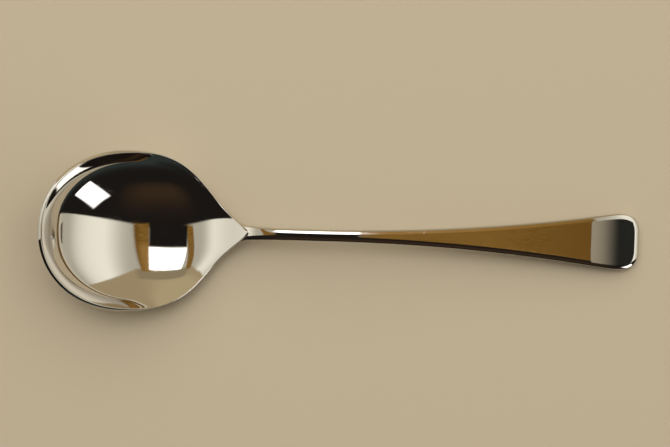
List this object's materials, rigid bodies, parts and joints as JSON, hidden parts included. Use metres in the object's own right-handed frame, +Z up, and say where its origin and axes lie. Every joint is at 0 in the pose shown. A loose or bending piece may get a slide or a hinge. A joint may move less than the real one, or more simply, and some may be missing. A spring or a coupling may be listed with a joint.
{
  "type": "soup spoon",
  "caption": "Polished metal soup spoon with a deep round bowl, a pointed heel and a slender stem that flares to a plain, squared-off handle end.",
  "frame": {"origin": "half way along the spoon, on its plane of symmetry, at the height of the surface that it rests on", "axes": "+X from the tip of the bowl towards the end of the handle, +Z up, out of the open bowl"},
  "size_m": [0.1699, 0.0452, 0.0188],
  "materials": {
    "bowl_metal": "mirror polish with fine scratches from use",
    "handle_metal": "mirror polish with fine scratches from use"
  },
  "bodies": {
    "root": {"bowl": "bowl_metal", "handle": "handle_metal"}
  },
  "joints": []
}
